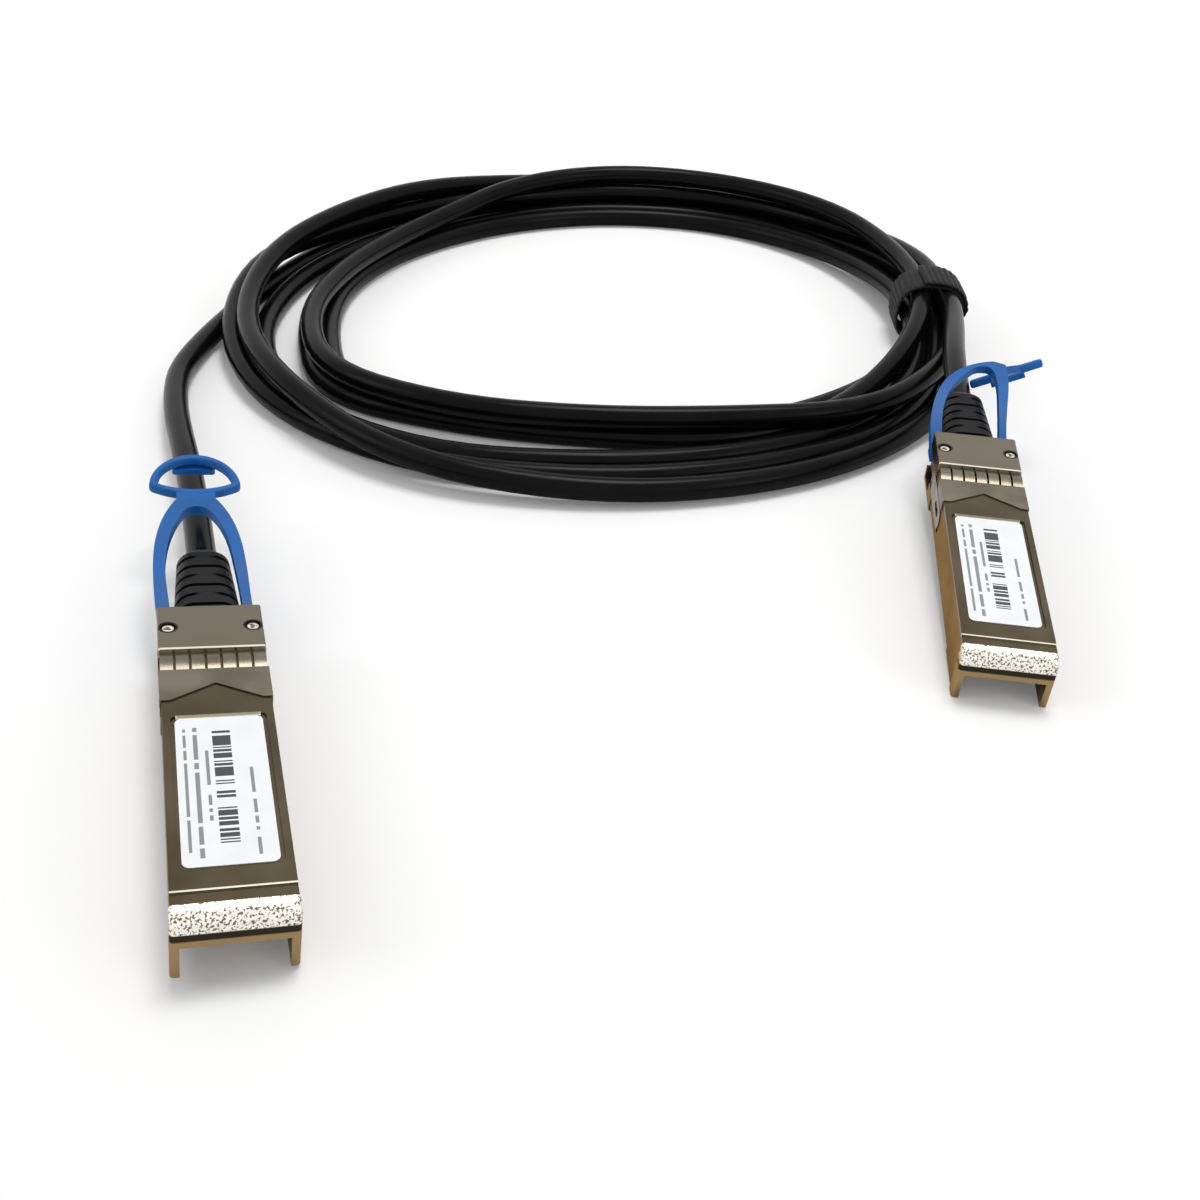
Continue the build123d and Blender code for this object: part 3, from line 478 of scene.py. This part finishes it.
def rivet_distance(tree, axes):
    """Distance in the plan from the nearer rivet, as sqrt((|x| - a)^2 + (y - b)^2)."""
    across = sum_of(tree, "SUBTRACT", sum_of(tree, "ABSOLUTE", axes["X"]), RIVET_AT[0])
    along = sum_of(tree, "SUBTRACT", axes["Y"], RIVET_AT[1])
    squares = [sum_of(tree, "MULTIPLY", value, value) for value in (across, along)]
    return sum_of(tree, "SQRT", sum_of(tree, "ADD", *squares))


def edge_highlights(tree, axes):
    """Mask of the painted highlights on the raised edges of the plug's upper face."""
    step = window(tree, axes["Y"], STEP_Y, STEP_Y + STEP_EDGE)
    block = window(tree, axes["Y"], STOP_Y, STOP_Y + BLOCK_EDGE)
    pocket = window(tree, axes["Y"], POCKET_FAR_Y - BLOCK_EDGE, POCKET_FAR_Y)
    inside = window(tree, axes["X"], -POCKET_HALF_X, POCKET_HALF_X)
    pocket = sum_of(tree, "MULTIPLY", pocket, inside)
    edges = sum_of(tree, "MAXIMUM", sum_of(tree, "MAXIMUM", step, block), pocket)
    on_top = ramp(tree, axes["Z"], SHELL_TOP_Z - 0.4, SHELL_TOP_Z - 0.3)
    return sum_of(tree, "MULTIPLY", edges, on_top)


def lip_colours(tree, look, axes):
    """Painted highlight with dark pores on the nose, a band of painted shade under it and then
    painted warm reflection.
    """
    values = {"Vector": look["place"], "Scale": PORES_PER_MM, "Detail": 2.5}
    pores = put(tree, "ShaderNodeTexNoise", values).outputs[0]
    pepper = ramp(tree, pores, *PORE_LIMITS, 1.0, 0.0)
    nose = mixed(tree, pepper, (*LIP_HIGHLIGHT_TONE, 1), (*PORE_TONE, 1))
    shade = ramp(tree, axes["Z"], LIP_LOW_Z - 0.1, LIP_LOW_Z + 0.05, 1.0, 0.0)
    nose = mixed(tree, shade, nose, (*SHADE_TONE, 1))
    band_end = LIP_LOW_Z - LIP_SHADE
    under = ramp(tree, axes["Z"], band_end - 0.15, band_end + 0.1, 1.0, 0.0)
    return mixed(tree, under, nose, (*UNDER_REFLECTION_TONE, 1)), pepper


def plated_shell(end):
    """Grained nickel with its painted lip highlight, rear block, painted warm reflection on the
    sides, painted edge highlights and rivet rings.
    """
    # Base tone: the plate's own colour with painted dark reflection, drifting with the patches
    look = grained(
        "plated_shell_" + end, PLATE_AND_REFLECTION_DARK, PLATE_AND_REFLECTION_LIGHT,
        per_mm=(0.09, 5.0), rough=(0.24, 0.34), bump=0.10, metallic=1.0, end=end,
    )
    tree, shader = look["tree"], look["shader"]
    axes = put(tree, "ShaderNodeSeparateXYZ", {0: look["place"]}).outputs
    lip = ramp(tree, axes["Y"], LIP_END_Y, LIP_END_Y + 0.15, 1.0, 0.0)
    rear = ramp(tree, axes["Y"], STOP_Y - 0.2, STOP_Y)
    beside = ramp(tree, sum_of(tree, "ABSOLUTE", axes["X"]), SIDE_X, SIDE_X + 0.12)
    below = ramp(tree, axes["Z"], SHELL_TOP_Z - 0.5, SHELL_TOP_Z - 0.2, 1.0, 0.0)
    side = sum_of(tree, "MULTIPLY", beside, below)
    # Painted warm reflection on the sides
    warm_reflection = mixed(tree, look["patches"], (*SIDE_REFLECTION_TONE, 1), (*SIDE_REFLECTION_DARK, 1))
    colour = mixed(tree, rear, look["colour"], (*REAR_TONE, 1))
    colour = mixed(tree, side, colour, warm_reflection)
    # Painted warm tint on the sides' reflections at a flat angle
    slanting = mixed(tree, side, (1, 1, 1, 1), (*SIDE_REFLECTION_TINT, 1))
    tree.links.new(slanting, shader.inputs["Specular Tint"])
    nose, pepper = lip_colours(tree, look, axes)
    colour = mixed(tree, lip, colour, nose)
    colour = mixed(tree, edge_highlights(tree, axes), colour, (*EDGE_HIGHLIGHT_TONE, 1))
    ring = window(tree, rivet_distance(tree, axes), *RING_RADII, 0.08)
    colour = mixed(tree, ring, colour, (*RING_TONE, 1))
    tree.links.new(colour, shader.inputs["Base Color"])
    pits = sum_of(tree, "MULTIPLY", pepper, sum_of(tree, "MULTIPLY", lip, -PIT_DEPTH))
    tree.links.new(sum_of(tree, "ADD", look["grain"], pits), look["bump"].inputs["Height"])
    return look["material"]


for end in PLUGS:
    dress(plated_shell(end), "top_shell_" + end, "bottom_shell_" + end)
print("shells dressed")

# %% [markdown]
# ## Sheet metal and rivets
# The collar is thin spring sheet with a faint grain along its fingers, and the slider and the lock
# lever are stamped steel. A rivet head carries a painted glint at its rim and is dark in the middle,
# so its tone goes with the distance from its centre.

# %% Sheet metal and rivets
# The dark middle of a rivet: where it ends, and how far the patches make its rim uneven
DARK_MIDDLE_RADII = (0.34, 0.52)
DARK_MIDDLE_UNEVEN = (0.35, -0.17)
collar_metal = grained(
    "spring_metal", (0.142, 0.122, 0.086), (0.192, 0.172, 0.134),
    per_mm=(0.15, 7.0), rough=(0.22, 0.34), bump=0.06, metallic=1.0,
)
steel = grained(
    "stamped_steel", (0.22, 0.195, 0.155), (0.31, 0.28, 0.235),
    per_mm=(0.4, 6.0), rough=(0.24, 0.40), bump=0.08, metallic=1.0,
)


def rivet_metal(end):
    """Painted glint round the edge, dark middle, broken up by the grain."""
    # The bright tones are a painted glint on the rivet head
    look = grained(
        "rivet_metal_" + end, (0.55, 0.52, 0.45), (0.84, 0.81, 0.74),
        per_mm=(2.2, 5.0), rough=(0.16, 0.32), bump=0.14, metallic=1.0, end=end,
    )
    tree = look["tree"]
    axes = put(tree, "ShaderNodeSeparateXYZ", {0: look["place"]}).outputs
    uneven = sum_of(tree, "MULTIPLY_ADD", look["patches"], *DARK_MIDDLE_UNEVEN)
    radius = sum_of(tree, "ADD", rivet_distance(tree, axes), uneven)
    rim = ramp(tree, radius, *DARK_MIDDLE_RADII)
    colour = mixed(tree, rim, (*PORE_TONE, 1), look["colour"])
    tree.links.new(colour, look["shader"].inputs["Base Color"])
    return look["material"]


for end in PLUGS:
    dress(collar_metal["material"], "emi_collar_" + end)
    dress(steel["material"], "latch_slider_" + end, "lock_lever_" + end, "lever_pin_" + end)
    dress(rivet_metal(end), "cover_rivets_" + end)

# %% [markdown]
# ## Label
# The label is a white film with rounded corners. It carries no words here: a block of plain bars and
# a few broken grey rules stand for print. All are masks in the plug's frame. A block is the product
# of a window in x and one in y, and bars and words are chance numbers, one for each step along y.

# %% Label
INK = (0.035, 0.035, 0.038)
BARS = {"x": (-1.0, 1.15), "y": (11.2, 31.2), "per_mm": 4.2, "share": 0.52}
# Each rule: x of its middle, its two ends in y, half its width
RULES = [
    (-1.75, 15.0, 27.5, 0.20),
    (-3.0, 9.0, 32.0, 0.26),
    (-4.25, 10.0, 32.0, 0.18),
    (3.2, 9.0, 24.0, 0.20),
]
WORDS = {"per_mm": 1.7, "share": 0.8, "ink": 0.75}
# Factor on a rule's x that gives each rule other breaks
RULE_SHIFT = 31.0


def steps(tree, value, per_mm):
    """Whole number of the step along a line."""
    return sum_of(tree, "FLOOR", sum_of(tree, "MULTIPLY", value, per_mm))


def chance(tree, number, share):
    """Mask of 1 for a share of all numbers, taken by chance."""
    drawn = put(tree, "ShaderNodeTexWhiteNoise", {"W": number}, noise_dimensions="1D")
    return sum_of(tree, "LESS_THAN", drawn.outputs["Value"], share)


def print_film(end):
    """White film with one block of bars and thin broken rules."""
    look = grained(
        "label_white_" + end, (0.86, 0.885, 0.89), (0.90, 0.925, 0.93),
        per_mm=(0.3, 9.0), rough=(0.34, 0.46), bump=0.03, end=end,
    )
    tree, shader = look["tree"], look["shader"]
    axes = put(tree, "ShaderNodeSeparateXYZ", {0: look["place"]}).outputs
    ink = chance(tree, steps(tree, axes["Y"], BARS["per_mm"]), BARS["share"])
    for axis, limits in (("X", BARS["x"]), ("Y", BARS["y"])):
        ink = sum_of(tree, "MULTIPLY", ink, window(tree, axes[axis], *limits))
    word = steps(tree, axes["Y"], WORDS["per_mm"])
    for x, low, high, half in RULES:
        rule = chance(tree, sum_of(tree, "ADD", word, RULE_SHIFT * x), WORDS["share"])
        rule = sum_of(tree, "MULTIPLY", rule, window(tree, axes["X"], x - half, x + half))
        rule = sum_of(tree, "MULTIPLY", rule, window(tree, axes["Y"], low, high))
        ink = sum_of(tree, "MAXIMUM", ink, sum_of(tree, "MULTIPLY", rule, WORDS["ink"]))
    colour = mixed(tree, ink, look["colour"], (*INK, 1))
    tree.links.new(colour, shader.inputs["Base Color"])
    return look["material"]


for end in PLUGS:
    dress(print_film(end), "label_" + end)
print("labels dressed")

# %% [markdown]
# ## Plastics
# The pull tabs are moulded in blue polypropylene with a fine spark-eroded grain, the boots in satin
# black. The jacket of the cable is extruded, so it is smoother, with soft dull patches from handling.
# The strap is woven: it is rough all over and has a little sheen from its fibres.

# %% Plastics
STRAP_SHEEN = 0.08
tab_blue = grained(
    "tab_blue", (0.003, 0.088, 0.315), (0.005, 0.116, 0.395),
    per_mm=(0.25, 6.0), rough=(0.38, 0.52), bump=0.16,
)
boot_black = grained(
    "boot_black", (0.0055, 0.0055, 0.0055), (0.0095, 0.0095, 0.0095),
    per_mm=(0.3, 5.0), rough=(0.34, 0.48), bump=0.16,
)
jacket_black = grained(
    "jacket_black", (0.0022, 0.0022, 0.0021), (0.0042, 0.0042, 0.0040),
    per_mm=(0.10, 3.0), rough=(0.19, 0.27), bump=0.06,
)
tie_black = grained(
    "tie_black", (0.004, 0.004, 0.004), (0.012, 0.012, 0.012),
    per_mm=(0.9, 7.0), rough=(0.55, 0.80), bump=0.4,
)
tie_black["shader"].inputs["Sheen Weight"].default_value = STRAP_SHEEN
# How much each one mirrors, head on
MIRRORS = ((tab_blue, 0.24), (boot_black, 0.11), (jacket_black, 0.075), (tie_black, 0.12))
for look, level in MIRRORS:
    look["shader"].inputs["Specular IOR Level"].default_value = level
for end in PLUGS:
    dress(tab_blue["material"], "pull_tab_" + end)
    dress(boot_black["material"], "strain_relief_boot_" + end)
cable.data.materials.append(jacket_black["material"])
strap.data.materials.append(tie_black["material"])

# %% [markdown]
# ## Inside the plugs
# Through the mouth one sees the green edge card with its gold contacts; a memory chip, two foil
# shielded pairs and a copper ferrule sit behind it. They are small, but they are still what they are.

# %% Inside the plugs
INSIDE = {
    "paddle_card": grained(
        "card_green", (0.010, 0.070, 0.030), (0.016, 0.105, 0.045),
        per_mm=(0.5, 4.0), rough=(0.28, 0.40), bump=0.08,
    ),
    "contact_pads": grained(
        "contact_gold", (0.72, 0.48, 0.16), (0.86, 0.62, 0.25),
        per_mm=(0.8, 6.0), rough=(0.18, 0.32), bump=0.05, metallic=1.0,
    ),
    "memory_chip": grained(
        "chip_black", (0.014, 0.014, 0.015), (0.026, 0.026, 0.027),
        per_mm=(0.6, 9.0), rough=(0.45, 0.62), bump=0.25,
    ),
    "twinax_pairs": grained(
        "foil_shield", (0.52, 0.52, 0.54), (0.70, 0.70, 0.71),
        per_mm=(0.9, 3.0), rough=(0.20, 0.42), bump=0.35, metallic=1.0,
    ),
    "crimp_ferrule": grained(
        "ferrule_copper", (0.52, 0.27, 0.14), (0.66, 0.37, 0.20),
        per_mm=(0.5, 5.0), rough=(0.25, 0.42), bump=0.08, metallic=1.0,
    ),
}
for piece, look in INSIDE.items():
    dress(look["material"], piece + "_a", piece + "_b")
print("finishes", len(bpy.data.materials))

# %% [markdown]
# ## Floor and light
# A pale floor, one large soft light overhead and two weaker ones from the sides. For the camera alone
# the floor has a slight glow, which makes it white paper without more light on the object, and far
# away the glow grows until the floor runs into the white behind it.

# %% Floor and light
FLOOR_HALF = 3.0
# Strength of the floor's own glow near the object and far away, and where it grows, in millimetres
GLOW = (0.09, 0.8)
GLOW_REACH = (250.0, 1400.0)
# Point that the lights are turned to, in metres
LIGHT_AIM = Vector((0, 0.05, 0))

floor_mesh = bpy.data.meshes.new("floor")
signs = ((-1, -1), (1, -1), (1, 1), (-1, 1))
corners = [(x * FLOOR_HALF, y * FLOOR_HALF, 0) for x, y in signs]
floor_mesh.from_pydata(corners, [], [(0, 1, 2, 3)])
floor = bpy.data.objects.new("floor", floor_mesh)
bpy.context.scene.collection.objects.link(floor)
floor_look = grained(
    "floor_pale", (0.895, 0.893, 0.890), (0.905, 0.904, 0.902),
    per_mm=(0.01, 0.3), rough=(0.85, 0.95), bump=0.0,
)
floor_mesh.materials.append(floor_look["material"])
floor_tree, floor_shader = floor_look["tree"], floor_look["shader"]
seen_by_camera = put(floor_tree, "ShaderNodeLightPath", {}).outputs["Is Camera Ray"]
from_middle = put(floor_tree, "ShaderNodeVectorMath", {0: floor_look["place"]}, operation="LENGTH")
growing = ramp(floor_tree, from_middle.outputs["Value"], *GLOW_REACH, *GLOW)
glow = sum_of(floor_tree, "MULTIPLY", seen_by_camera, growing)
floor_shader.inputs["Emission Color"].default_value = (1, 1, 1, 1)
floor_tree.links.new(glow, floor_shader.inputs["Emission Strength"])


def soft_light(name, at, size, power):
    """Square area light at a point in metres, turned to the middle of the object."""
    data = bpy.data.lights.new(name, "AREA")
    data.size = size
    data.energy = power
    light = bpy.data.objects.new(name, data)
    light.location = at
    aim = LIGHT_AIM - Vector(at)
    light.rotation_euler = aim.to_track_quat("-Z", "Y").to_euler()
    bpy.context.scene.collection.objects.link(light)


soft_light("overhead", at=(0.1, 0.25, 1.0), size=0.42, power=5.2)
soft_light("left", at=(-0.9, -0.2, 0.6), size=0.5, power=1.5)
soft_light("right", at=(0.8, -0.5, 0.5), size=0.4, power=0.8)
print("lights", len(bpy.data.lights))

# %% [markdown]
# ## World
# The world has two strengths: a mild one that lights the object, and 1, which is plain white, for
# what the camera or a reflection sees directly.

# %% World
ROOM_STRENGTH = 0.5
SEEN_STRENGTH = 1.0
world = bpy.data.worlds.new("room")
world.use_nodes = True
room = world.node_tree
rays = put(room, "ShaderNodeLightPath", {}).outputs
seen = sum_of(room, "MAXIMUM", rays["Is Camera Ray"], rays["Is Glossy Ray"])
seen = sum_of(room, "MAXIMUM", seen, rays["Is Transmission Ray"])
strength = sum_of(room, "MULTIPLY_ADD", seen, SEEN_STRENGTH - ROOM_STRENGTH, ROOM_STRENGTH)
background = room.nodes["Background"]
background.inputs["Color"].default_value = (1, 1, 1, 1)
room.links.new(strength, background.inputs["Strength"])
bpy.context.scene.world = world
bpy.context.scene.view_settings.view_transform = "Standard"
